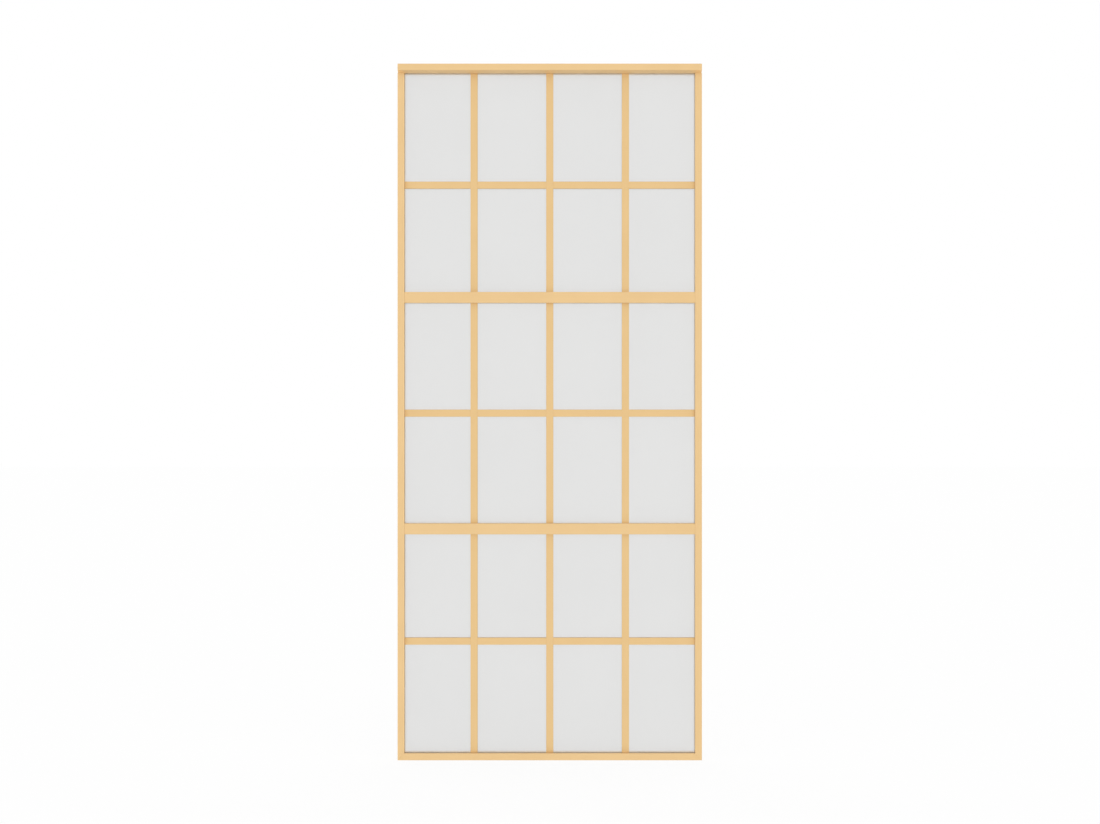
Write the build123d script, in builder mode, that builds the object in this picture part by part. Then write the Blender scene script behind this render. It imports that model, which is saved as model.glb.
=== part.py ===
from build123d import *
import math
import os

# Sliding glass door leaf, nominal 90 x 205 cm: a shallow aluminium frame with two transoms, three satin
# glass panes, and flat glazing bars on both faces of the glass.
# All sizes are in millimetres. X runs along the width, the front faces -Y and Z is up.
# The origin is at the bottom centre of the leaf, on the line where its four wheels stand.

# Overall size
leaf_width = 895.0
leaf_height = 2046.0
wheel_drop = 1.0  # from the bottom rail's underside down to the wheels' lowest line

# Frame section
frame_depth = 36.0
stile_face = 20.0
transom_depth = 34.0
transom_face = 32.0
wall = 1.6
edge_radius = 0.6
joint_gap = 0.1

# Glazing pocket, glass and gasket
pocket_width = 10.0
pocket_depth = 8.0
pocket_wall = 1.5
glass_thickness = 6.0
glass_bite = 7.0
glass_arris = 0.5
gasket_bite = 7.8
gasket_slack = 0.05

# Grid of the door, measured from the middle of the glazed height
transom_offset = 340.5
crossbar_offset = 672.0
muntin_pitch = 223.0

# Flat bars on the glass
bar_width = 21.0
bar_thickness = 2.5
bar_chamfer = 0.4
bar_end_gap = 0.3
lap_gap = 0.05

# Head of the top rail: a proud band with a sloping underside, and a channel inside it
band_height = 19.0
band_proud = 20.0
band_wall = 2.0
band_floor = 2.0
band_radius = 2.0
band_end_inset = 1.5
underside_drop = 4.5

# Screw ports in the transoms, and the hex head tapping screws of the frame
port_hole_radius = 1.75
port_boss_radius = 2.9
port_rib = 1.4
screw_length = 32.0
screw_shank_radius = 1.72
screw_clearance_radius = 2.1
hex_head_radius = 3.7
hex_head_height = 2.8
screw_slack = 0.025
access_radius = 4.1  # holes in the stiles' edges, for the driver

# Cleats that join the stiles to the bottom rail and to the top rail
cleat_leg = 42.0
cleat_slack = 0.1
cleat_lead = 1.5
crimp_width = 3.0
crimp_depth = 1.0
head_cleat_bore = 32.0

# Tandem rollers in the bottom rail's core
roller_x = 360.0
wheel_pitch = 16.0
wheel_radius = 5.2
wheel_width = 5.6
running_clearance = 0.05
axle_radius = 1.5
axle_slack = 0.01
bracket_length = 34.0
bracket_width = 7.8
bracket_sheet = 1.0
bracket_bend = 0.8
bracket_corner = 3.0
bracket_slack = 0.1
ear_length = 4.0
ear_height = 3.0
ear_reach = 1.0
roller_slot_length = 36.0
roller_slot_width = 8.0
roller_slot_corner = 1.0

# Guides in the head channel
guide_x = 360.0
guide_length = 60.0
guide_width = 44.0
guide_base = 3.0
guide_height = 12.0
guide_slot = 8.0
guide_cheek = 3.5
guide_flare_length = 6.0
guide_flare_depth = 2.0
guide_corner_radius = 3.0
guide_rib = 2.5
guide_rib_reach = 11.0
guide_rib_drop = 2.5
guide_screw_x = 15.0
guide_screw_y = 13.0
guide_screw_length = 8.0
guide_screw_radius = 1.98

# Places that follow from the driving dimensions
half_width = leaf_width / 2
half_depth = frame_depth / 2
clear_half_width = half_width - stile_face
bottom_z = wheel_drop
opening_bottom = bottom_z + stile_face
band_bottom = leaf_height - band_height
opening_top = band_bottom - underside_drop
grid_z = (opening_bottom + opening_top) / 2
transom_z = {"lower": grid_z - transom_offset, "upper": grid_z + transom_offset}
crossbar_z = {"lower": grid_z - crossbar_offset, "middle": grid_z, "upper": grid_z + crossbar_offset}
panels = {
    "lower": (opening_bottom, transom_z["lower"] - transom_face / 2),
    "middle": (transom_z["lower"] + transom_face / 2, transom_z["upper"] - transom_face / 2),
    "upper": (transom_z["upper"] + transom_face / 2, opening_top),
}
muntin_x = {"left": -muntin_pitch, "centre": 0.0, "right": muntin_pitch}

chamber_inner_y = pocket_width / 2 + pocket_wall
chamber_width = half_depth - wall - chamber_inner_y
chamber_y = chamber_inner_y + chamber_width / 2
core_depth = stile_face - pocket_depth - pocket_wall
core_middle = (wall + core_depth) / 2
core_ceiling_z = bottom_z + core_depth
band_half_depth = half_depth + band_proud
channel_half_width = band_half_depth - band_wall
channel_floor_z = opening_top + pocket_depth + pocket_wall
underside_slope = underside_drop / band_proud
wheel_z = wheel_radius
glass_face_y = glass_thickness / 2

os.makedirs("parts", exist_ok=True)


def save(piece, name):
    """Labels a finished piece and writes it as its own file."""
    piece.part.label = name
    export_step(piece.part, f"parts/{name}.step")


def frame_section():
    """Section of the stiles and the bottom rail: X from the outer edge inwards, Y through the depth."""
    with Locations((stile_face / 2, 0)):
        Rectangle(stile_face, frame_depth)
    fillet(vertices(), edge_radius)
    with Locations((stile_face - pocket_depth / 2, 0)):
        Rectangle(pocket_depth, pocket_width, mode=Mode.SUBTRACT)
    with Locations((core_middle, 0)):
        Rectangle(core_depth - wall, pocket_width, mode=Mode.SUBTRACT)
    with Locations((stile_face / 2, chamber_y), (stile_face / 2, -chamber_y)):
        Rectangle(stile_face - 2 * wall, chamber_width, mode=Mode.SUBTRACT)


def make_stile(side, name):
    """A stile: side is -1 on the left and 1 on the right. Its foot is mitred and its head is square."""
    edge_x = side * half_width
    with BuildPart() as stile:
        with BuildSketch(Plane(origin=(edge_x, 0, bottom_z), x_dir=(-side, 0, 0), z_dir=(0, 0, 1))):
            frame_section()
        extrude(amount=opening_top - bottom_z - joint_gap)
        mitre = Plane(origin=(edge_x, 0, bottom_z), z_dir=(side, 0, 1)).offset(joint_gap / 2)
        split(bisect_by=mitre, keep=Keep.TOP)
        edge_face = Plane(origin=(edge_x, 0, 0), x_dir=(0, side, 0), z_dir=(side, 0, 0))
        with BuildSketch(edge_face):
            with Locations(*[(0, z) for z in transom_z.values()]):
                Circle(access_radius)
        extrude(amount=-wall, mode=Mode.SUBTRACT)
        with BuildSketch(edge_face.offset(-core_depth)):
            with Locations(*[(0, z) for z in transom_z.values()]):
                Circle(screw_clearance_radius)
        extrude(amount=-pocket_wall, mode=Mode.SUBTRACT)
    save(stile, name)


def make_bottom_rail():
    """The bottom rail: the stiles' section, mitred at both ends, slotted for two pairs of wheels."""
    with BuildPart() as rail:
        with BuildSketch(Plane(origin=(-half_width, 0, bottom_z), x_dir=(0, 0, 1), z_dir=(1, 0, 0))):
            frame_section()
        extrude(amount=leaf_width)
        for side in (-1, 1):
            corner = Plane(origin=(side * half_width, 0, bottom_z), z_dir=(side, 0, 1))
            split(bisect_by=corner.offset(-joint_gap / 2), keep=Keep.BOTTOM)
        with BuildSketch(Plane.XY.offset(bottom_z)):
            with GridLocations(2 * roller_x, 0, 2, 1):
                RectangleRounded(roller_slot_length, roller_slot_width, roller_slot_corner)
        extrude(amount=wall, mode=Mode.SUBTRACT)
    save(rail, "bottom_rail")


def guide_screw_places():
    """Two screws for each guide, on a diagonal."""
    return [
        (side * guide_x + end * guide_screw_x, end * guide_screw_y)
        for side in (-1, 1)
        for end in (-1, 1)
    ]


def band_profile():
    """Outline of the top rail: flat over the frame below, then sloping out to a proud band."""
    half_outline = [
        (half_depth, opening_top),
        (band_half_depth, band_bottom),
        (band_half_depth, leaf_height),
    ]
    Polygon(*half_outline, *[(-y, z) for y, z in reversed(half_outline)], align=None)
    fillet(vertices().group_by(Axis.Y)[1], band_radius)
    fillet(vertices().group_by(Axis.Y)[-1], edge_radius)


def head_chambers():
    """The two chambers of the top rail beside the glazing pocket, which follow the band's underside."""
    low = opening_top + wall
    high = channel_floor_z - band_floor
    reach = band_half_depth - 2 * band_wall
    underside_low = opening_top + wall * math.hypot(1, underside_slope)
    outline = [
        (chamber_inner_y, high),
        (chamber_inner_y, low),
        (half_depth - (underside_low - low) / underside_slope, low),
        (reach, underside_low + (reach - half_depth) * underside_slope),
        (reach, high),
    ]
    for side in (-1, 1):
        Polygon(*[(side * y, z) for y, z in outline], align=None, mode=Mode.SUBTRACT)


def make_top_rail():
    """The top rail: a glazing pocket below, and a channel above, open at the top and at both ends."""
    standing = (Align.CENTER, Align.MIN)
    length = leaf_width - 2 * band_end_inset
    with BuildPart() as rail:
        with BuildSketch(Plane.YZ.offset(-length / 2)):
            band_profile()
            with Locations((0, channel_floor_z)):
                Rectangle(2 * channel_half_width, band_height, align=standing, mode=Mode.SUBTRACT)
            with Locations((0, opening_top)):
                Rectangle(pocket_width, pocket_depth, align=standing, mode=Mode.SUBTRACT)
            head_chambers()
        extrude(amount=length)
        with BuildSketch(Plane.XY.offset(channel_floor_z)):
            with GridLocations(2 * (half_width - core_middle), 0, 2, 1):
                Circle(screw_clearance_radius)
            with Locations(*guide_screw_places()):
                Circle(guide_screw_radius + screw_slack)
        extrude(amount=-band_floor, mode=Mode.SUBTRACT)
    save(rail, "top_rail")


def make_transom(name, centre_z):
    """A transom: a glazing pocket above and below, and a ribbed screw port in the core between them."""
    length = 2 * (clear_half_width - joint_gap)
    side_width = transom_depth / 2 - wall - chamber_inner_y
    side_y = chamber_inner_y + side_width / 2
    with BuildPart() as transom:
        with BuildSketch(Plane.YZ.offset(-length / 2)):
            with Locations((0, centre_z)):
                Rectangle(transom_depth, transom_face)
            fillet(vertices(), edge_radius)
            pocket_z = (transom_face - pocket_depth) / 2
            with Locations((0, centre_z - pocket_z), (0, centre_z + pocket_z)):
                Rectangle(pocket_width, pocket_depth, mode=Mode.SUBTRACT)
            with Locations((side_y, centre_z), (-side_y, centre_z)):
                Rectangle(side_width, transom_face - 2 * wall, mode=Mode.SUBTRACT)
            with Locations((0, centre_z)):
                Rectangle(pocket_width, transom_face - 2 * (pocket_depth + pocket_wall), mode=Mode.SUBTRACT)
                Rectangle(pocket_width, port_rib)
                Circle(port_boss_radius)
                Circle(port_hole_radius, mode=Mode.SUBTRACT)
        extrude(amount=length)
    save(transom, name)


def make_pane(name, low, high):
    """A glass pane, let into the pockets all round, with ground edges."""
    middle = (low + high) / 2
    with BuildPart() as pane:
        with BuildSketch(Plane.XZ.offset(-glass_face_y)):
            with Locations((0, middle)):
                Rectangle(2 * (clear_half_width + glass_bite), high - low + 2 * glass_bite)
        extrude(amount=glass_thickness)
        chamfer(faces().filter_by(Axis.Y).edges(), glass_arris)
    save(pane, name)


def make_gasket(name, low, high):
    """A U gasket round a pane, filling the pocket and flush with the frame's inner edges."""
    middle = (low + high) / 2
    thickness = pocket_width - 2 * gasket_slack
    with BuildPart() as gasket:
        with BuildSketch(Plane.XZ.offset(-thickness / 2)):
            with Locations((0, middle)):
                Rectangle(2 * (clear_half_width + gasket_bite), high - low + 2 * gasket_bite)
                Rectangle(2 * clear_half_width, high - low, mode=Mode.SUBTRACT)
        extrude(amount=thickness)
        with BuildSketch(Plane.XZ.offset(-glass_face_y - gasket_slack)):
            with Locations((0, middle)):
                Rectangle(
                    2 * (clear_half_width + glass_bite + gasket_slack),
                    high - low + 2 * (glass_bite + gasket_slack),
                )
        extrude(amount=glass_thickness + 2 * gasket_slack, mode=Mode.SUBTRACT)
    save(gasket, name)


def bar_plane(face):
    """The glass face that a bar is stuck to, facing outwards: face is -1 in front and 1 behind."""
    return Plane(origin=(0, face * glass_face_y, 0), x_dir=(-face, 0, 0), z_dir=(0, face, 0))


def make_muntin(name, face, x, low, high, crossing_z):
    """A vertical bar over one pane's height, cut away on the glass side where it passes over the crossbar."""
    length = high - low - 2 * bar_end_gap
    with BuildPart() as muntin:
        with BuildSketch(bar_plane(face)):
            with Locations((-face * x, (low + high) / 2)):
                Rectangle(bar_width, length)
        extrude(amount=bar_thickness)
        outer = faces().sort_by(Axis.Y)[-1 if face > 0 else 0]
        chamfer(outer.edges().filter_by(Axis.Z), bar_chamfer)
        with BuildSketch(bar_plane(face)):
            with Locations((-face * x, crossing_z)):
                Rectangle(bar_width, bar_width + 2 * lap_gap)
        extrude(amount=bar_thickness / 2 + lap_gap, mode=Mode.SUBTRACT)
    save(muntin, name)


def make_crossbar(name, face, z):
    """A horizontal bar between the stiles, cut away outside where the vertical bars pass over it."""
    with BuildPart() as crossbar:
        with BuildSketch(bar_plane(face)):
            with Locations((0, z)):
                Rectangle(2 * (clear_half_width - bar_end_gap), bar_width)
        extrude(amount=bar_thickness)
        outer = faces().sort_by(Axis.Y)[-1 if face > 0 else 0]
        chamfer(outer.edges().filter_by(Axis.X), bar_chamfer)
        with BuildSketch(bar_plane(face).offset(bar_thickness / 2)):
            with Locations(*[(x, z) for x in muntin_x.values()]):
                Rectangle(bar_width + 2 * lap_gap, bar_width)
        extrude(amount=bar_thickness / 2, mode=Mode.SUBTRACT)
    save(crossbar, name)


def make_corner_cleat(side, name):
    """An L cleat in the core chambers of a stile and the bottom rail, notched where the frame is crimped."""
    outer = wall + cleat_slack
    inner = core_depth - cleat_slack
    corner = Plane(origin=(side * half_width, 0, bottom_z), x_dir=(-side, 0, 0), z_dir=(0, side, 0))
    with BuildPart() as cleat:
        with BuildSketch(corner):
            with BuildLine():
                Polyline(
                    (outer, outer),
                    (cleat_leg, outer),
                    (cleat_leg, inner),
                    (inner, inner),
                    (inner, cleat_leg),
                    (outer, cleat_leg),
                    close=True,
                )
            make_face()
            tips = vertices().group_by(Axis.X)[-1] + vertices().group_by(Axis.Y)[-1]
            chamfer(tips, cleat_lead)
            with Locations((cleat_leg / 2, inner)):
                Rectangle(crimp_width, 2 * crimp_depth, mode=Mode.SUBTRACT)
            with Locations((inner, cleat_leg / 2)):
                Rectangle(2 * crimp_depth, crimp_width, mode=Mode.SUBTRACT)
        extrude(amount=pocket_width / 2 - cleat_slack, both=True)
    save(cleat, name)


def make_head_cleat(side, name):
    """A straight cleat from a stile's core up into the top rail's pocket, bored for its screw."""
    thickness = core_depth - wall - 2 * cleat_slack
    top_z = opening_top + pocket_depth - cleat_slack
    with BuildPart() as cleat:
        with BuildSketch(Plane.XZ):
            with Locations((side * (half_width - core_middle), top_z)):
                Rectangle(thickness, cleat_leg, align=(Align.CENTER, Align.MAX))
            chamfer(vertices().group_by(Axis.Y)[0], cleat_lead)
            crimp_x = side * (half_width - core_middle - thickness / 2)
            with Locations((crimp_x, top_z - 0.75 * cleat_leg)):
                Rectangle(2 * crimp_depth, crimp_width, mode=Mode.SUBTRACT)
        extrude(amount=pocket_width / 2 - cleat_slack, both=True)
        with BuildSketch(Plane.XY.offset(top_z)):
            with Locations((side * (half_width - core_middle), 0)):
                Circle(screw_shank_radius + screw_slack)
        extrude(amount=-head_cleat_bore, mode=Mode.SUBTRACT)
    save(cleat, name)


def make_hex_screw(shank_radius, length):
    """A hex head tapping screw, its head above XY and its plain shank below."""
    with BuildPart() as screw:
        with BuildSketch(Plane.XY):
            RegularPolygon(radius=hex_head_radius, side_count=6)
        extrude(amount=hex_head_height)
        with BuildSketch(Plane.XY):
            Circle(shank_radius)
        extrude(amount=-length)
    return screw


def make_frame_screws():
    """Screws from the stiles into the transoms' ports, and from the top rail into the head cleats."""
    screw = make_hex_screw(screw_shank_radius, screw_length)
    seats = [
        Plane(origin=(side * (half_width - core_depth), 0, z), z_dir=(side, 0, 0))
        for side in (-1, 1)
        for z in transom_z.values()
    ]
    with BuildPart() as screws:
        with Locations(*seats):
            add(screw.part)
        with Locations(Plane.XY.offset(channel_floor_z)):
            with GridLocations(2 * (half_width - core_middle), 0, 2, 1):
                add(screw.part)
    save(screws, "frame_screws")


def make_bracket(name, x):
    """A folded steel bracket let up through the slot: a roof, two cheeks, and ears sprung over the floor."""
    low = bottom_z + bracket_slack
    high = core_ceiling_z - bracket_slack
    height = high - low
    floor_z = bottom_z + wall + bracket_slack
    with BuildPart() as bracket:
        with BuildSketch(Plane(origin=(x - bracket_length / 2, 0, high), x_dir=(0, 1, 0), z_dir=(1, 0, 0))):
            Rectangle(bracket_width, height, align=(Align.CENTER, Align.MAX))
            fillet(vertices().group_by(Axis.Y)[-1], bracket_bend)
            with Locations((0, -bracket_sheet)):
                Rectangle(
                    bracket_width - 2 * bracket_sheet,
                    height,
                    align=(Align.CENTER, Align.MAX),
                    mode=Mode.SUBTRACT,
                )
        extrude(amount=bracket_length)
        with BuildSketch(Plane.XZ):
            for end in (x - bracket_length / 2, x + bracket_length / 2):
                with BuildLine():
                    Polyline(
                        (end - bracket_corner, high),
                        (end + bracket_corner, high),
                        (end, high - bracket_corner),
                        close=True,
                    )
                make_face()
        extrude(amount=bracket_width / 2, both=True, mode=Mode.SUBTRACT)
        with BuildSketch(Plane.XY.offset(floor_z)):
            with Locations((x, 0)):
                with GridLocations(bracket_length - ear_length, bracket_width + ear_reach, 2, 2):
                    Rectangle(ear_length, ear_reach)
        extrude(amount=ear_height)
        with BuildSketch(Plane.XZ):
            with Locations((x - wheel_pitch / 2, wheel_z), (x + wheel_pitch / 2, wheel_z)):
                Circle(axle_radius + axle_slack)
        extrude(amount=bracket_width / 2, both=True, mode=Mode.SUBTRACT)
    save(bracket, name)


def make_axle(name, x):
    """The axle of one wheel, held in the bracket's cheeks."""
    with BuildPart() as axle:
        with BuildSketch(Plane.XZ):
            with Locations((x, wheel_z)):
                Circle(axle_radius)
        extrude(amount=bracket_width / 2, both=True)
    save(axle, name)


def make_wheel(name, x):
    """A turned nylon wheel that runs on its axle."""
    with BuildPart() as wheel:
        with BuildSketch(Plane.XZ):
            with Locations((x, wheel_z)):
                Circle(wheel_radius)
                Circle(axle_radius + running_clearance, mode=Mode.SUBTRACT)
        extrude(amount=wheel_width / 2, both=True)
    save(wheel, name)


def make_guide(name, x):
    """A moulded guide: a base plate, two cheeks with flared ends, and three ribs behind each cheek."""
    top_z = channel_floor_z + guide_height
    base_top = channel_floor_z + guide_base
    cheek_y = guide_slot / 2 + guide_cheek
    with BuildPart() as guide:
        with BuildSketch(Plane.XY.offset(channel_floor_z)):
            with Locations((x, 0)):
                RectangleRounded(guide_length, guide_width, guide_corner_radius)
        extrude(amount=guide_base)
        with BuildSketch(Plane.XY.offset(base_top)):
            with BuildLine():
                Polyline(
                    (x, guide_slot / 2),
                    (x + guide_length / 2 - guide_flare_length, guide_slot / 2),
                    (x + guide_length / 2, guide_slot / 2 + guide_flare_depth),
                    (x + guide_length / 2, cheek_y),
                    (x, cheek_y),
                    close=True,
                )
            make_face()
            mirror(about=Plane.YZ.offset(x))
            mirror(about=Plane.XZ)
        extrude(amount=guide_height - guide_base)
        for rib_x in (x - guide_length / 2 + guide_rib, x, x + guide_length / 2 - guide_rib):
            with BuildSketch(Plane.YZ.offset(rib_x)):
                with BuildLine():
                    Polyline(
                        (cheek_y, base_top),
                        (cheek_y + guide_rib_reach, base_top),
                        (cheek_y, top_z - guide_rib_drop),
                        close=True,
                    )
                make_face()
                mirror(about=Plane.YZ)
            extrude(amount=guide_rib / 2, both=True)
        with BuildSketch(Plane.XY.offset(base_top)):
            with Locations(*[place for place in guide_screw_places() if place[0] * x > 0]):
                Circle(guide_screw_radius + screw_slack)
        extrude(amount=-guide_base, mode=Mode.SUBTRACT)
    save(guide, name)


def make_guide_screws():
    """Two screws down through each guide into the channel's floor."""
    screw = make_hex_screw(guide_screw_radius, guide_screw_length)
    with BuildPart() as screws:
        with Locations(Plane.XY.offset(channel_floor_z + guide_base)):
            with Locations(*guide_screw_places()):
                add(screw.part)
    save(screws, "guide_screws")


make_stile(-1, "left_stile")
make_stile(1, "right_stile")
make_bottom_rail()
make_top_rail()
for level, height in transom_z.items():
    make_transom(f"{level}_transom", height)

for level, (low_z, high_z) in panels.items():
    make_pane(f"{level}_glass", low_z, high_z)
    make_gasket(f"{level}_gasket", low_z, high_z)
    for face_name, face_side in (("front", -1), ("rear", 1)):
        crossing_z = crossbar_z[level]
        for column, bar_x in muntin_x.items():
            make_muntin(f"{face_name}_{level}_{column}_muntin", face_side, bar_x, low_z, high_z, crossing_z)
        make_crossbar(f"{face_name}_{level}_crossbar", face_side, crossing_z)

for side_name, side in (("left", -1), ("right", 1)):
    make_corner_cleat(side, f"{side_name}_corner_cleat")
    make_head_cleat(side, f"{side_name}_head_cleat")
    make_bracket(f"{side_name}_roller_bracket", side * roller_x)
    for place_name, offset in (("outer", wheel_pitch / 2), ("inner", -wheel_pitch / 2)):
        make_axle(f"{side_name}_{place_name}_axle", side * (roller_x + offset))
        make_wheel(f"{side_name}_{place_name}_wheel", side * (roller_x + offset))
    make_guide(f"{side_name}_guide", side * guide_x)
make_frame_screws()
make_guide_screws()
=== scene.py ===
"""The sliding door leaf, dressed in satin gold and etched glass, lit and seen as photographed."""

import math

import bmesh
import bpy
from mathutils import Matrix, Vector


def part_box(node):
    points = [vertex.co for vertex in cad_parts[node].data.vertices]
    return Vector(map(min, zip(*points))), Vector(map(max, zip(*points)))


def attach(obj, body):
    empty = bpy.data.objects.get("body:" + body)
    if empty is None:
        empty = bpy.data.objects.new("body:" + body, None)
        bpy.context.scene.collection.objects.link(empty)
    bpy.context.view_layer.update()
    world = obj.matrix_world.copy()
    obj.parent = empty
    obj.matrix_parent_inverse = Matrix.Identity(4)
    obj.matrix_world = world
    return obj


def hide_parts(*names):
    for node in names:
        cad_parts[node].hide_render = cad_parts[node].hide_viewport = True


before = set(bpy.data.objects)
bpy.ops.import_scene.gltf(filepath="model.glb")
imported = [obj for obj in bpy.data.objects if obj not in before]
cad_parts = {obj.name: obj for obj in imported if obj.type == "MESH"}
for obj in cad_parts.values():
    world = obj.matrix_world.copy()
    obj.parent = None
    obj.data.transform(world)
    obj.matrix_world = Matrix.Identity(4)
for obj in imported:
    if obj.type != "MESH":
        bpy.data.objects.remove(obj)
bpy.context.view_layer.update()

# Finishes, as linear colours
GOLD = (0.855, 0.594, 0.293)
GOLD_DEEP = (0.825, 0.566, 0.273)
# The bars' gold is the frame's gold made a little darker: painted shade, for the shade the bars
# get in their recess behind the frame's face
BAR_GOLD_PAINTED_SHADE = (0.832, 0.574, 0.272)
BAR_GOLD_DEEP_PAINTED_SHADE = (0.803, 0.547, 0.254)
SATIN_GLASS = (0.806, 0.806, 0.800)
GASKET = (0.330, 0.290, 0.235)
ALLOY = (0.710, 0.715, 0.730)
ZINC = (0.640, 0.645, 0.655)
ZINC_SHADE = (0.470, 0.480, 0.500)
NYLON = (0.780, 0.770, 0.740)
PLUG = (0.770, 0.525, 0.262)

# How much paler or darker a finish's second tone is than its first
GLASS_TINT = 1.01
GASKET_TINT = 1.15
ALLOY_TINT = 0.85
MOULDING_TINT = 1.05

# Noise: where most of its values lie, how far from its middle a blend's ends are, and its detail
NOISE_LOW = 0.3
NOISE_MIDDLE = 0.5
NOISE_HIGH = 0.7
BLEND_SPREAD = 0.15
SOFT_DETAIL = 2.0
FINE_DETAIL = 3.0
CRISP_DETAIL = 4.0

# Noise scales, in cells a metre
DIE_LINES_SCALE = 1500.0
GOLD_TONE_SCALE = 9.0
GOLD_GRAIN_SCALE = 2600.0
GLASS_CLOUD_SCALE = 3.0
GLASS_TOOTH_SCALE = 5200.0
GASKET_DUST_SCALE = 400.0
GASKET_GRAIN_SCALE = 1800.0
ALLOY_SCALE = 120.0
ZINC_SCALE = 260.0
METAL_GRAIN_FACTOR = 4.0
MOULDING_FLOW_SCALE = 60.0
MOULDING_GRAIN_SCALE = 3000.0

# Roughness, from and to, or its lower end and how far above it the upper end is
GOLD_ROUGHNESS = (0.40, 0.58)
GLASS_ROUGHNESS = (0.28, 0.34)
GASKET_ROUGHNESS = (0.62, 0.78)
ALLOY_ROUGHNESS = 0.35
ZINC_ROUGHNESS = 0.28
NYLON_ROUGHNESS = 0.45
PLUG_ROUGHNESS = 0.42
ROUGHNESS_RISE = 0.08

# Relief: depth in metres, and strength
GOLD_RELIEF = (0.00008, 0.5)
GLASS_RELIEF = (0.00002, 0.3)
GASKET_RELIEF = (0.00004, 0.3)
METAL_RELIEF = (0.00003, 0.2)
MOULDING_RELIEF = (0.00005, 0.3)

# The gold coat: its die lines' scale along the bar, the shares of two patterns, and its sheen
DIE_LINES_STRETCH = 0.004
GOLD_TONE_SHARE = 0.45
GOLD_TONE_SPREAD = 0.10
GOLD_MATT_SHARE = 0.65
GOLD_RELIEF_SHARE = 0.5
GOLD_METALLIC = 0.45

# The glass
GLASS_TRANSMISSION = 0.92
GLASS_IOR = 1.5

# The photograph's camera, level and square to the front: its lens and sensor in millimetres, and
# in metres how far before the stiles, how high and how far to the right of the middle it stands
LENS = 62.0
SENSOR_WIDTH = 36.0
CAMERA_DISTANCE = 5.5705
CAMERA_HEIGHT = 1.0251
CAMERA_X = 0.0007

# The surround and the floor: white where they are seen, at another level where they give light
WHITE = (1.0, 1.0, 1.0, 1.0)
SEEN_LEVEL = 1.0
WORLD_FILL = 0.54
FLOOR_BOUNCE = 1.15
FLOOR_GREY = (0.9, 0.9, 0.9, 1.0)
FLOOR_GLOW = 0.9  # the glow's share of the floor where it gives light
FLOOR_SHADOW = 0.08  # how much of a shadow is seen
FLOOR_HALF = 30.0  # metres

# The two lamps: watts a square metre, degrees above the floor, and degrees across
LAMP_STRENGTH = 0.92
LAMP_ELEVATION = 55.0
LAMP_SPREAD = 75.0

# The small parts are drawn in millimetres; their edges sharper than this many degrees stay sharp
MM = 0.001
SHARP_ANGLE = 32.0

# Where the middle of a rounded edge lies, as shares of its radius
ARC_OUT = 0.7  # out from the start of the rounding
ARC_IN = 0.3  # in from each of the two faces

# The snap plugs in the stiles' edges
PLUG_SEGMENTS = 48
PLUG_RADIUS = 4.05
PLUG_RECESS = 0.15
PLUG_ROUNDING = 0.45
PLUG_CAP = 1.35
PLUG_CROWN = 0.05
PLUG_CROWN_SHARE = 0.5
PLUG_SKIRT = 4.2
PLUG_SKIRT_RADIUS = 3.4
PLUG_SKIRT_WALL = 0.8
PLUG_LEAD_IN = 0.2
PLUG_BARB = 0.25
PLUG_BARB_SHARE = 0.6  # of the skirt's length
PLUG_NECK_SHARE = 0.3

# The tapping screws' hex heads, with a chamfer at the top and a dish in it
SCREW_SEGMENTS = 24
HEX_TURN = math.pi / 3  # from one flat to the next
HEX_RADIUS = 3.7
HEX_FLAT_RADIUS = HEX_RADIUS * math.cos(HEX_TURN / 2)
HEX_HEIGHT = 2.8
HEX_SIDE_SHARE = 0.78  # of the head's height
HEX_CHAMFER_SHARE = 0.9
HEX_TOP_SHARE = 0.97  # of the radius to a flat
DISH_RADIUS = 2.2
DISH_DEPTH = 0.45
DISH_WALL_SHARE = 0.9  # of the dish's radius
DISH_FLOOR_SHARE = 0.75
DISH_STEP = 0.15

# Their shanks and threads
TIP_RADIUS = 0.3
TIP_LENGTH = 2.0
NECK_LENGTH = 0.4
NECK_SLACK = 0.05
SHANK_SLACK = 0.02
THREAD_DEPTH = 0.36
THREAD_HALF_SHARE = 0.28  # of the pitch
THREAD_CLEARANCE = 0.5  # from the seat to the thread's end

# The frame's and the guides' screws; crest is the radius over the thread, segments are for a turn
FRAME_SCREW = {"crest": 1.72, "length": 32.0, "pitch": 1.3, "segments": 16}
GUIDE_SCREW = {"crest": 1.98, "length": 8.0, "pitch": 1.4, "segments": 20}
GUIDE_SCREW_X = 15.0
GUIDE_SCREW_Y = 13.0
CORE_DEPTH = 10.5  # from a stile's outer edge to where the transoms' screws are seated

# The wheels, with a crowned tread and a recess in each side
WHEEL_SEGMENTS = 64
WHEEL_HALF_WIDTH = 2.8
WHEEL_RADIUS = 5.2
WHEEL_BORE = 1.55
WHEEL_BORE_CHAMFER = 0.2
WHEEL_CROWN = 0.06
WHEEL_ROUNDING = 0.5
TREAD_SHARE = 0.5  # of the half width, at the point between the tread's middle and its edge
TREAD_DROP_SHARE = 0.3  # of the crown, at the same point
HUB_RADIUS = 2.5
RIM_INNER_RADIUS = 4.1
HUB_RECESS = 0.6
HUB_SLOPE = 0.15

# The frame members that stand, and the two that cross the leaf
STILES = ("left_stile", "right_stile")
TRANSOMS = ("lower_transom", "upper_transom")

# Which finish a CAD node has, by the ending of its name; the frame's members have none of these
FINISH_BY_ENDING = {
    "_glass": "glass",
    "_gasket": "gasket",
    "_cleat": "alloy",
    "_axle": "zinc",
    "_screws": "zinc",
    "_bracket": "zinc",
    "_wheel": "nylon",
    "_guide": "nylon",
    "_muntin": "upright_bar",
    "_crossbar": "level_bar",
}


def emptied(owner):
    """The node tree of a material or a world, with nothing in it."""
    owner.use_nodes = True
    owner.node_tree.nodes.clear()
    return owner.node_tree


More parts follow.
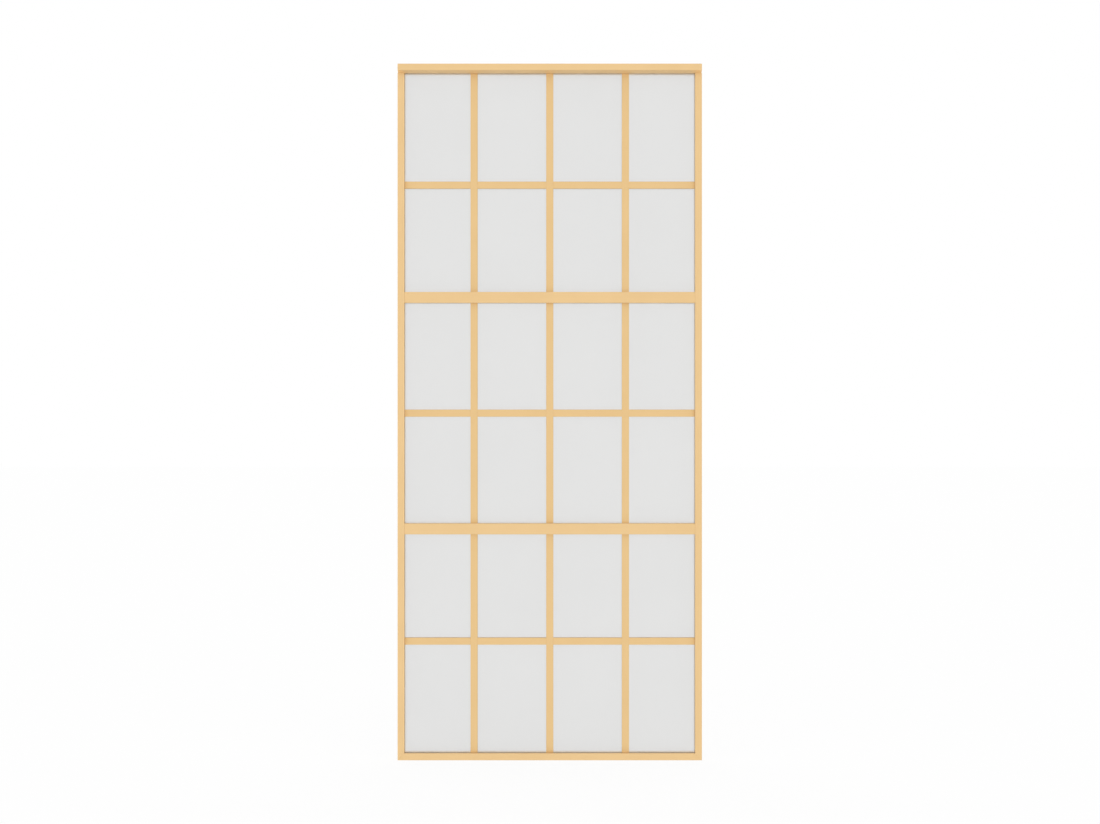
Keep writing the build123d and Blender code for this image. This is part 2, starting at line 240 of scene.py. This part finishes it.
def new_material(name):
    """A material with a bare Principled surface; returns it with its node tree and its shader."""
    material = bpy.data.materials.new(name)
    tree = emptied(material)
    output = tree.nodes.new("ShaderNodeOutputMaterial")
    shader = tree.nodes.new("ShaderNodeBsdfPrincipled")
    tree.links.new(shader.outputs["BSDF"], output.inputs["Surface"])
    return material, tree, shader


def noise(tree, scale, detail, stretch=(1.0, 1.0, 1.0)):
    """Noise in the object's own space, its scale multiplied by a factor along each axis."""
    place = tree.nodes.new("ShaderNodeTexCoord")
    mapping = tree.nodes.new("ShaderNodeMapping")
    mapping.inputs["Scale"].default_value = stretch
    texture = tree.nodes.new("ShaderNodeTexNoise")
    texture.inputs["Scale"].default_value = scale
    texture.inputs["Detail"].default_value = detail
    tree.links.new(place.outputs["Object"], mapping.inputs["Vector"])
    tree.links.new(mapping.outputs["Vector"], texture.inputs["Vector"])
    return texture.outputs["Fac"]


def ranged(tree, value, low, high, start=NOISE_LOW, end=NOISE_HIGH):
    """A value between start and end carried to between low and high, and held there."""
    node = tree.nodes.new("ShaderNodeMapRange")
    node.inputs["From Min"].default_value = start
    node.inputs["From Max"].default_value = end
    node.inputs["To Min"].default_value = low
    node.inputs["To Max"].default_value = high
    tree.links.new(value, node.inputs["Value"])
    return node.outputs["Result"]


def blended(tree, value, first, second, spread=BLEND_SPREAD):
    """A colour between two, chosen by noise; spread is how far from its middle the ends lie."""
    ramp = tree.nodes.new("ShaderNodeValToRGB")
    ramp.color_ramp.elements[0].position = NOISE_MIDDLE - spread
    ramp.color_ramp.elements[1].position = NOISE_MIDDLE + spread
    ramp.color_ramp.elements[0].color = (*first, 1.0)
    ramp.color_ramp.elements[1].color = (*second, 1.0)
    tree.links.new(value, ramp.inputs["Fac"])
    return ramp.outputs["Color"]


def mixed(tree, share, first, second):
    """The sum of two values, share of the first and the rest of the second."""
    node = tree.nodes.new("ShaderNodeMix")
    node.data_type = "FLOAT"
    node.inputs["Factor"].default_value = 1.0 - share
    tree.links.new(first, node.inputs["A"])
    tree.links.new(second, node.inputs["B"])
    return node.outputs["Result"]


def bumped(tree, shader, height, distance, strength):
    """Gives the shader a fine relief from a height value; distance is in metres."""
    bump = tree.nodes.new("ShaderNodeBump")
    bump.inputs["Distance"].default_value = distance
    bump.inputs["Strength"].default_value = strength
    tree.links.new(height, bump.inputs["Height"])
    tree.links.new(bump.outputs["Normal"], shader.inputs["Normal"])


def tinted(colour, factor):
    """A colour made paler or darker by a factor."""
    return tuple(min(1.0, channel * factor) for channel in colour)


def gold_coat(name, along, light, deep):
    """Satin gold coat on extruded aluminium: faint die lines along the bar and a fine grain."""
    material, tree, shader = new_material(name)
    stretch = tuple(DIE_LINES_STRETCH if axis == along else 1.0 for axis in "XYZ")
    die_lines = noise(tree, DIE_LINES_SCALE, CRISP_DETAIL, stretch)
    tone = mixed(tree, GOLD_TONE_SHARE, noise(tree, GOLD_TONE_SCALE, FINE_DETAIL), die_lines)
    colour = blended(tree, tone, deep, light, GOLD_TONE_SPREAD)
    tree.links.new(colour, shader.inputs["Base Color"])
    grain = noise(tree, GOLD_GRAIN_SCALE, SOFT_DETAIL)
    matt = mixed(tree, GOLD_MATT_SHARE, die_lines, grain)
    tree.links.new(ranged(tree, matt, *GOLD_ROUGHNESS), shader.inputs["Roughness"])
    bumped(tree, shader, mixed(tree, GOLD_RELIEF_SHARE, die_lines, grain), *GOLD_RELIEF)
    shader.inputs["Metallic"].default_value = GOLD_METALLIC
    return material


def satin_glass():
    """Acid-etched white glass: pale, softly scattering, with a fine even tooth."""
    material, tree, shader = new_material("satin_glass")
    cloud = noise(tree, GLASS_CLOUD_SCALE, SOFT_DETAIL)
    colour = blended(tree, cloud, SATIN_GLASS, tinted(SATIN_GLASS, GLASS_TINT))
    tree.links.new(colour, shader.inputs["Base Color"])
    tooth = noise(tree, GLASS_TOOTH_SCALE, SOFT_DETAIL)
    tree.links.new(ranged(tree, tooth, *GLASS_ROUGHNESS), shader.inputs["Roughness"])
    bumped(tree, shader, tooth, *GLASS_RELIEF)
    shader.inputs["Transmission Weight"].default_value = GLASS_TRANSMISSION
    shader.inputs["IOR"].default_value = GLASS_IOR
    return material


def gasket():
    """Soft glazing gasket, matt and slightly dusty."""
    material, tree, shader = new_material("gasket")
    dust = noise(tree, GASKET_DUST_SCALE, CRISP_DETAIL)
    colour = blended(tree, dust, GASKET, tinted(GASKET, GASKET_TINT))
    tree.links.new(colour, shader.inputs["Base Color"])
    tree.links.new(ranged(tree, dust, *GASKET_ROUGHNESS), shader.inputs["Roughness"])
    bumped(tree, shader, noise(tree, GASKET_GRAIN_SCALE, FINE_DETAIL), *GASKET_RELIEF)
    return material


def bare_metal(name, light, dark, scale, roughness):
    """Unpainted or plated metal with a soft change of tone over its surface."""
    material, tree, shader = new_material(name)
    spangle = noise(tree, scale, FINE_DETAIL)
    tree.links.new(blended(tree, spangle, dark, light), shader.inputs["Base Color"])
    matt = ranged(tree, spangle, roughness + ROUGHNESS_RISE, roughness)
    tree.links.new(matt, shader.inputs["Roughness"])
    bumped(tree, shader, noise(tree, scale * METAL_GRAIN_FACTOR, SOFT_DETAIL), *METAL_RELIEF)
    shader.inputs["Metallic"].default_value = 1.0
    return material


def moulding(name, colour, roughness):
    """Moulded plastic with a fine spark-eroded texture."""
    material, tree, shader = new_material(name)
    flow = noise(tree, MOULDING_FLOW_SCALE, FINE_DETAIL)
    paler = tinted(colour, MOULDING_TINT)
    tree.links.new(blended(tree, flow, colour, paler), shader.inputs["Base Color"])
    matt = ranged(tree, flow, roughness, roughness + ROUGHNESS_RISE)
    tree.links.new(matt, shader.inputs["Roughness"])
    bumped(tree, shader, noise(tree, MOULDING_GRAIN_SCALE, FINE_DETAIL), *MOULDING_RELIEF)
    return material


def make_finishes():
    """Every finish, by the name of what it is on or of what it is."""
    alloy_shade = tinted(ALLOY, ALLOY_TINT)
    return {
        "upright": gold_coat("gold_upright", "Z", GOLD, GOLD_DEEP),
        "level": gold_coat("gold_level", "X", GOLD, GOLD_DEEP),
        # The bars' finishes carry painted shade: the frame's gold, made darker for the shade in
        # their recess
        "upright_bar": gold_coat("gold_upright_bar_painted_shade", "Z", BAR_GOLD_PAINTED_SHADE, BAR_GOLD_DEEP_PAINTED_SHADE),
        "level_bar": gold_coat("gold_level_bar_painted_shade", "X", BAR_GOLD_PAINTED_SHADE, BAR_GOLD_DEEP_PAINTED_SHADE),
        "glass": satin_glass(),
        "gasket": gasket(),
        "alloy": bare_metal("mill_alloy", ALLOY, alloy_shade, ALLOY_SCALE, ALLOY_ROUGHNESS),
        "zinc": bare_metal("zinc_plate", ZINC, ZINC_SHADE, ZINC_SCALE, ZINC_ROUGHNESS),
        "nylon": moulding("nylon", NYLON, NYLON_ROUGHNESS),
        "plug": moulding("plug", PLUG, PLUG_ROUGHNESS),
    }


def finish_of(name):
    """The key of the finish that a CAD node has."""
    for ending, finish in FINISH_BY_ENDING.items():
        if name.endswith(ending):
            return finish
    return "upright" if name in STILES else "level"


def dress(name, material):
    """Gives a CAD node one material over all its faces."""
    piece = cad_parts[name]
    piece.data.materials.clear()
    piece.data.materials.append(material)


def at_angle(radius, angle, height):
    """A point at a radius and angle about Z."""
    return (radius * math.cos(angle), radius * math.sin(angle), height)


def round_ring(radius):
    """A circle's radius, the same at every angle."""
    return lambda angle: radius


def hex_ring(limit):
    """The screw head's radius at an angle: a hexagon's, trimmed by a circle."""

    def radius(angle):
        off_flat = angle % HEX_TURN - HEX_TURN / 2
        return min(limit, HEX_FLAT_RADIUS / math.cos(off_flat))

    return radius


def skin(bm, rings, segments, closed_loop=False):
    """Skins rings of (radius at an angle, height), and caps the ends or joins them in a loop."""
    angles = [2 * math.pi * step / segments for step in range(segments)]
    rows = [
        [bm.verts.new(at_angle(radius(angle), angle, height)) for angle in angles]
        for radius, height in rings
    ]
    pairs = list(zip(rows, rows[1:]))
    if closed_loop:
        pairs.append((rows[-1], rows[0]))
    for lower, upper in pairs:
        for here in range(segments):
            there = (here + 1) % segments
            bm.faces.new((lower[here], lower[there], upper[there], upper[here]))
    if not closed_loop:
        bm.faces.new(rows[0])
        bm.faces.new(rows[-1])


def thread_ridge(bm, root, crest, pitch, low, high, segments):
    """A triangular ridge wound round a shank, which rises at one end and sinks at the other."""
    steps = round((high - low) / pitch * segments)
    rows = []
    for step in range(steps + 1):
        rise = min(1.0, step / segments, (steps - step) / segments)
        points = (
            (root - SHANK_SLACK, -THREAD_HALF_SHARE * pitch),
            (root + (crest - root) * rise, 0.0),
            (root - SHANK_SLACK, THREAD_HALF_SHARE * pitch),
        )
        angle = 2 * math.pi * step / segments
        height = low + pitch * step / segments
        rows.append(
            [bm.verts.new(at_angle(radius, angle, height + offset)) for radius, offset in points]
        )
    for before, after in zip(rows, rows[1:]):
        for here in range(len(before)):
            there = (here + 1) % len(before)
            bm.faces.new((before[here], before[there], after[there], after[here]))
    bm.faces.new(rows[0])
    bm.faces.new(rows[-1])


def hex_screw(crest, length, pitch, segments):
    """A hex head tapping screw: its seat on XY, its head above and its thread below."""
    bm = bmesh.new()
    root = crest - THREAD_DEPTH
    tip_end = -length + TIP_LENGTH
    dish_floor = HEX_HEIGHT - DISH_DEPTH
    rings = [
        (round_ring(TIP_RADIUS), -length),
        (round_ring(root), tip_end),
        (round_ring(root), -NECK_LENGTH),
        (round_ring(crest - NECK_SLACK), 0.0),
        (hex_ring(HEX_RADIUS), 0.0),
        (hex_ring(HEX_RADIUS), HEX_SIDE_SHARE * HEX_HEIGHT),
        (hex_ring((HEX_RADIUS + HEX_FLAT_RADIUS) / 2), HEX_CHAMFER_SHARE * HEX_HEIGHT),
        (round_ring(HEX_TOP_SHARE * HEX_FLAT_RADIUS), HEX_HEIGHT),
        (round_ring(DISH_RADIUS), HEX_HEIGHT),
        (round_ring(DISH_WALL_SHARE * DISH_RADIUS), dish_floor + DISH_STEP),
        (round_ring(DISH_FLOOR_SHARE * DISH_RADIUS), dish_floor),
    ]
    skin(bm, rings, SCREW_SEGMENTS)
    thread_ridge(bm, root, crest, pitch, tip_end, -THREAD_CLEARANCE, segments)
    return bm


def snap_plug():
    """A snap plug: a softly rounded cap with its face on XY, and a hollow skirt below."""
    bm = bmesh.new()
    edge = PLUG_RADIUS - PLUG_ROUNDING
    outline = [
        (PLUG_SKIRT_RADIUS - PLUG_SKIRT_WALL, -PLUG_CAP),
        (PLUG_SKIRT_RADIUS - PLUG_SKIRT_WALL, -PLUG_CAP - PLUG_SKIRT),
        (PLUG_SKIRT_RADIUS - PLUG_LEAD_IN, -PLUG_CAP - PLUG_SKIRT),
        (PLUG_SKIRT_RADIUS + PLUG_BARB, -PLUG_CAP - PLUG_BARB_SHARE * PLUG_SKIRT),
        (PLUG_SKIRT_RADIUS, -PLUG_CAP - PLUG_NECK_SHARE * PLUG_SKIRT),
        (PLUG_SKIRT_RADIUS, -PLUG_CAP),
        (PLUG_RADIUS, -PLUG_CAP),
        (PLUG_RADIUS, -PLUG_ROUNDING),
        (edge + ARC_OUT * PLUG_ROUNDING, -ARC_IN * PLUG_ROUNDING),
        (edge, 0.0),
        (PLUG_CROWN_SHARE * edge, PLUG_CROWN),
    ]
    skin(bm, [(round_ring(radius), height) for radius, height in outline], PLUG_SEGMENTS)
    return bm


def turned_wheel():
    """A turned nylon wheel about Z, with a crowned tread and a recess in each side."""
    bm = bmesh.new()
    tread_edge = WHEEL_RADIUS - WHEEL_CROWN
    rounding = ARC_IN * WHEEL_ROUNDING
    side = [
        (WHEEL_BORE, WHEEL_HALF_WIDTH - WHEEL_BORE_CHAMFER),
        (WHEEL_BORE + WHEEL_BORE_CHAMFER, WHEEL_HALF_WIDTH),
        (HUB_RADIUS, WHEEL_HALF_WIDTH),
        (HUB_RADIUS + HUB_SLOPE, WHEEL_HALF_WIDTH - HUB_RECESS),
        (RIM_INNER_RADIUS - HUB_SLOPE, WHEEL_HALF_WIDTH - HUB_RECESS),
        (RIM_INNER_RADIUS, WHEEL_HALF_WIDTH),
        (tread_edge - WHEEL_ROUNDING, WHEEL_HALF_WIDTH),
        (tread_edge - rounding, WHEEL_HALF_WIDTH - rounding),
        (tread_edge, WHEEL_HALF_WIDTH - WHEEL_ROUNDING),
        (WHEEL_RADIUS - TREAD_DROP_SHARE * WHEEL_CROWN, TREAD_SHARE * WHEEL_HALF_WIDTH),
    ]
    mirrored = [(radius, -height) for radius, height in reversed(side)]
    outline = side + [(WHEEL_RADIUS, 0.0)] + mirrored
    rings = [(round_ring(radius), height) for radius, height in outline]
    skin(bm, rings, WHEEL_SEGMENTS, closed_loop=True)
    return bm


def towards(x, y, z, direction):
    """Places a small part at a point in metres, with its own Z along a direction."""
    turn = Vector(direction).to_track_quat("Z", "Y").to_matrix().to_4x4()
    return Matrix.Translation((x, y, z)) @ turn @ Matrix.Scale(MM, 4)


def add_piece(name, bm, places, finish, body):
    """Makes one object of copies of a small mesh at several places, and rides it on a body."""
    whole = bmesh.new()
    for place in places:
        single = bpy.data.meshes.new("single")
        bm.to_mesh(single)
        single.transform(place)
        whole.from_mesh(single)
        bpy.data.meshes.remove(single)
    bm.free()
    bmesh.ops.recalc_face_normals(whole, faces=whole.faces)
    mesh = bpy.data.meshes.new(name)
    whole.to_mesh(mesh)
    whole.free()
    mesh.shade_smooth()
    mesh.set_sharp_from_angle(angle=math.radians(SHARP_ANGLE))
    mesh.materials.append(finish)
    piece = bpy.data.objects.new(name, mesh)
    bpy.context.scene.collection.objects.link(piece)
    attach(piece, body)
    return piece


def middle(node):
    """The middle of a CAD node's box."""
    low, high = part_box(node)
    return (low + high) / 2


def stile_edge(stile, side):
    """Where a stile's outer edge stands along X."""
    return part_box(stile)[0].x if side < 0 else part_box(stile)[1].x


def head_seat(node):
    """How high the seats of a CAD node's uppermost screw heads stand."""
    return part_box(node)[1].z - HEX_HEIGHT * MM


def make_plugs(finish):
    """Snap plugs over the access holes in the stiles' outer edges, just below the surface."""
    places = []
    for stile, side in zip(STILES, (-1, 1)):
        face = stile_edge(stile, side) - side * PLUG_RECESS * MM
        for transom in TRANSOMS:
            places.append(towards(face, 0.0, middle(transom).z, (side, 0, 0)))
    add_piece("edge_plugs", snap_plug(), places, finish, "leaf")


def make_frame_screws(finish):
    """The threaded screws of the transoms and head cleats, where the plain CAD ones stand."""
    places = []
    for side, name in ((-1, "left"), (1, "right")):
        seat_x = stile_edge(f"{name}_stile", side) - side * CORE_DEPTH * MM
        for transom in TRANSOMS:
            places.append(towards(seat_x, 0.0, middle(transom).z, (side, 0, 0)))
        cleat_x = middle(f"{name}_head_cleat").x
        places.append(towards(cleat_x, 0.0, head_seat("frame_screws"), (0, 0, 1)))
    screw = hex_screw(**FRAME_SCREW)
    screws = add_piece("frame_screw_set", screw, places, finish, "leaf")
    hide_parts("frame_screws")


def make_guide_screws(finish):
    """The threaded screws of the guides, where the plain CAD ones stand."""
    places = []
    for guide in ("left_guide", "right_guide"):
        for end in (-1, 1):
            x = middle(guide).x + end * GUIDE_SCREW_X * MM
            y = end * GUIDE_SCREW_Y * MM
            places.append(towards(x, y, head_seat("guide_screws"), (0, 0, 1)))
    screw = hex_screw(**GUIDE_SCREW)
    screws = add_piece("guide_screw_set", screw, places, finish, "leaf")
    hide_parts("guide_screws")


def make_wheels(finish):
    """The turned wheels, each on its own body, where the plain CAD wheels stand."""
    for node in [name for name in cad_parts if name.endswith("_wheel")]:
        centre = middle(node)
        place = towards(centre.x, centre.y, centre.z, (0, 1, 0))
        wheel = add_piece(f"{node}_turned", turned_wheel(), [place], finish, node)
        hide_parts(node)


def seen_directly(tree):
    """1 for rays from the camera, off glossy surfaces or through glass, and 0 for the rest."""
    path = tree.nodes.new("ShaderNodeLightPath")
    value = path.outputs["Is Camera Ray"]
    for kind in ("Is Glossy Ray", "Is Transmission Ray"):
        either = tree.nodes.new("ShaderNodeMath")
        either.operation = "MAXIMUM"
        tree.links.new(value, either.inputs[0])
        tree.links.new(path.outputs[kind], either.inputs[1])
        value = either.outputs[0]
    return value


def send_mix(tree, share, first, second, output):
    """Sends an output the mix of two shaders, with share of the second."""
    mix = tree.nodes.new("ShaderNodeMixShader")
    tree.links.new(share, mix.inputs["Fac"])
    tree.links.new(first.outputs[0], mix.inputs[1])
    tree.links.new(second.outputs[0], mix.inputs[2])
    tree.links.new(mix.outputs[0], output.inputs["Surface"])


def white_stage(name):
    """A white surface that stays white when seen, with a share of the shadows that fall on it."""
    material = bpy.data.materials.new(name)
    tree = emptied(material)
    output = tree.nodes.new("ShaderNodeOutputMaterial")
    diffuse = tree.nodes.new("ShaderNodeBsdfDiffuse")
    diffuse.inputs["Color"].default_value = FLOOR_GREY
    glow = tree.nodes.new("ShaderNodeEmission")
    glow.inputs["Color"].default_value = WHITE
    direct = seen_directly(tree)
    share = ranged(tree, direct, FLOOR_GLOW, 1.0 - FLOOR_SHADOW, 0.0, 1.0)
    level = ranged(tree, direct, FLOOR_BOUNCE, SEEN_LEVEL, 0.0, 1.0)
    tree.links.new(level, glow.inputs["Strength"])
    send_mix(tree, share, diffuse, glow, output)
    return material


def make_floor():
    """A wide pale floor at the height of the track."""
    mesh = bpy.data.meshes.new("floor")
    signs = ((-1, -1), (1, -1), (1, 1), (-1, 1))
    corners = [(x * FLOOR_HALF, y * FLOOR_HALF, 0.0) for x, y in signs]
    mesh.from_pydata(corners, [], [(0, 1, 2, 3)])
    floor = bpy.data.objects.new("floor", mesh)
    floor.data.materials.append(white_stage("floor_white"))
    bpy.context.scene.collection.objects.link(floor)


def surround(tree, level):
    """White light of one level from all round."""
    light = tree.nodes.new("ShaderNodeBackground")
    light.inputs["Color"].default_value = WHITE
    light.inputs["Strength"].default_value = level
    return light


def light_world():
    """A white surround: full white where it is seen, a softer level where it lights the object."""
    world = bpy.data.worlds.new("studio")
    bpy.context.scene.world = world
    tree = emptied(world)
    output = tree.nodes.new("ShaderNodeOutputWorld")
    fill = surround(tree, WORLD_FILL)
    shown = surround(tree, SEEN_LEVEL)
    send_mix(tree, seen_directly(tree), fill, shown, output)


def soft_lamp(name, side):
    """A very broad light from above, before (-1) or behind (1), which no reflection shows."""
    lamp = bpy.data.lights.new(name, "SUN")
    lamp.energy = LAMP_STRENGTH
    lamp.angle = math.radians(LAMP_SPREAD)
    holder = bpy.data.objects.new(name, lamp)
    elevation = math.radians(LAMP_ELEVATION)
    towards_light = Vector((0.0, side * math.cos(elevation), math.sin(elevation)))
    holder.rotation_euler = towards_light.to_track_quat("Z", "Y").to_euler()
    holder.visible_glossy = False
    holder.visible_transmission = False
    bpy.context.scene.collection.objects.link(holder)


def light_object():
    """The same soft light on both faces of the leaf."""
    soft_lamp("front_lamp", -1)
    soft_lamp("rear_lamp", 1)


def make_camera():
    """The photograph's view: level and square to the front."""
    camera = bpy.data.cameras.new("camera")
    camera.lens = LENS
    camera.sensor_width = SENSOR_WIDTH
    camera.sensor_fit = "HORIZONTAL"
    holder = bpy.data.objects.new("camera", camera)
    front_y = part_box("left_stile")[0].y
    holder.location = (CAMERA_X, front_y - CAMERA_DISTANCE, CAMERA_HEIGHT)
    holder.rotation_euler = (math.radians(90.0), 0.0, 0.0)
    bpy.context.scene.collection.objects.link(holder)
    bpy.context.scene.camera = holder


finishes = make_finishes()
for node_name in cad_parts:
    dress(node_name, finishes[finish_of(node_name)])
make_plugs(finishes["plug"])
make_frame_screws(finishes["zinc"])
make_guide_screws(finishes["zinc"])
make_wheels(finishes["nylon"])
make_floor()
light_world()
light_object()
make_camera()
bpy.context.scene.view_settings.view_transform = "Standard"
